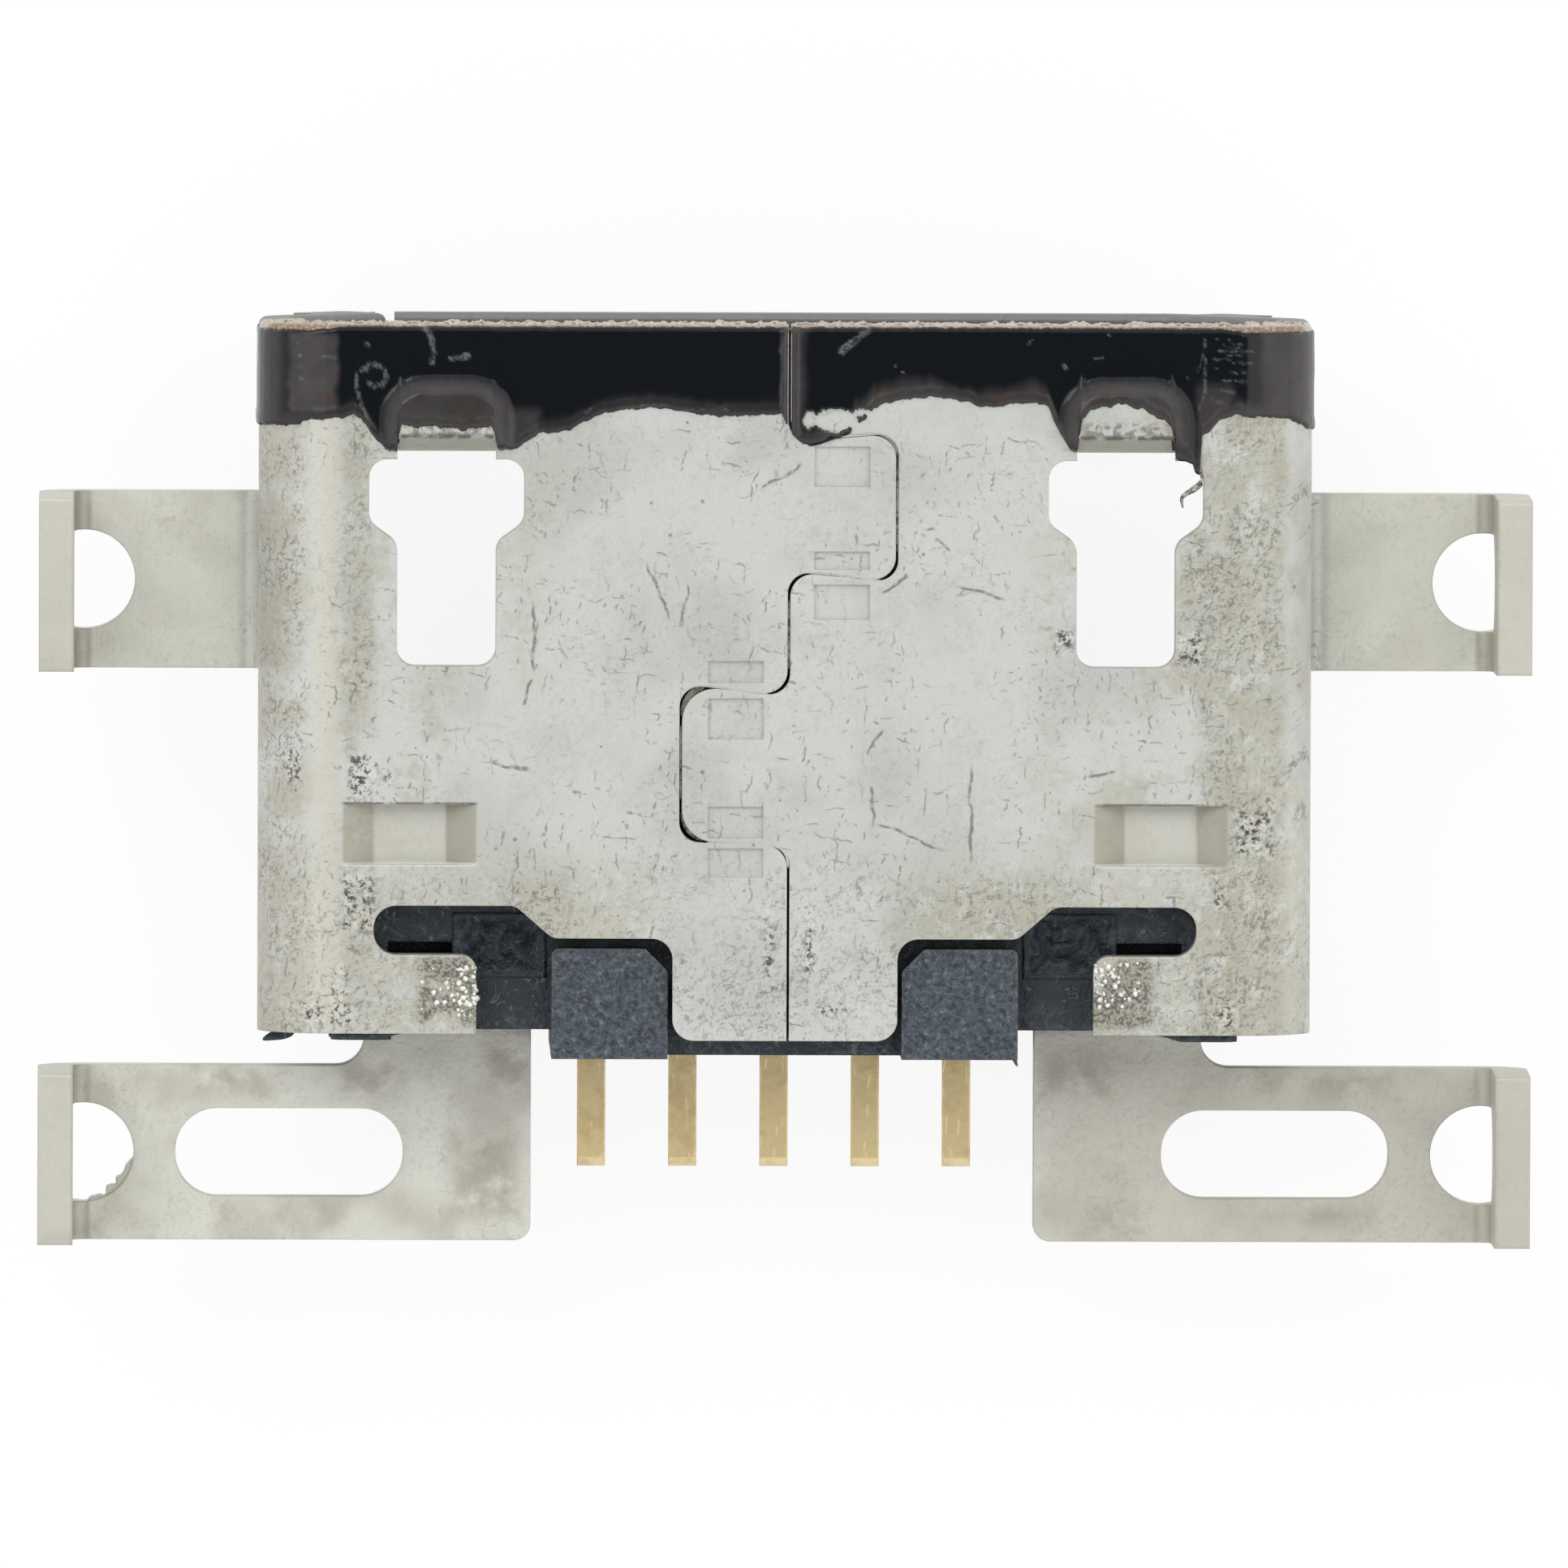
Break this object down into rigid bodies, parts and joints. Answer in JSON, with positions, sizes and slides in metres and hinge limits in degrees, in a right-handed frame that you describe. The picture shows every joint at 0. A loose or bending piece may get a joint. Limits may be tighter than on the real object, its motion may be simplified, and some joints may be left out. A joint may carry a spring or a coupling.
{
  "type": "charging port",
  "caption": "Low board-mounted charging port: folded metal shell with an interlocked seam, latch windows and bent board wings, around a black moulding with flat contacts.",
  "frame": {"origin": "middle of the bounding box, on the plane that the narrow far wall rests on", "axes": "+Y out of the plug mouth, X across the port between the legs, +Z from the narrow far wall to the seam wall, the way the legs point"},
  "size_m": [0.0106, 0.0066, 0.0025],
  "materials": {
    "shell_metal": "matt plated sheet, scratched, with a black dipped coat on the mouth end of the seam wall",
    "black_moulding": "moulded, rougher on the raised rear blocks",
    "contact_plating": "gold plated, worn"
  },
  "bodies": {
    "root": {"shell": "shell_metal", "housing": "black_moulding", "contact_1": "contact_plating", "contact_2": "contact_plating", "contact_3": "contact_plating", "contact_4": "contact_plating", "contact_5": "contact_plating"}
  },
  "joints": []
}
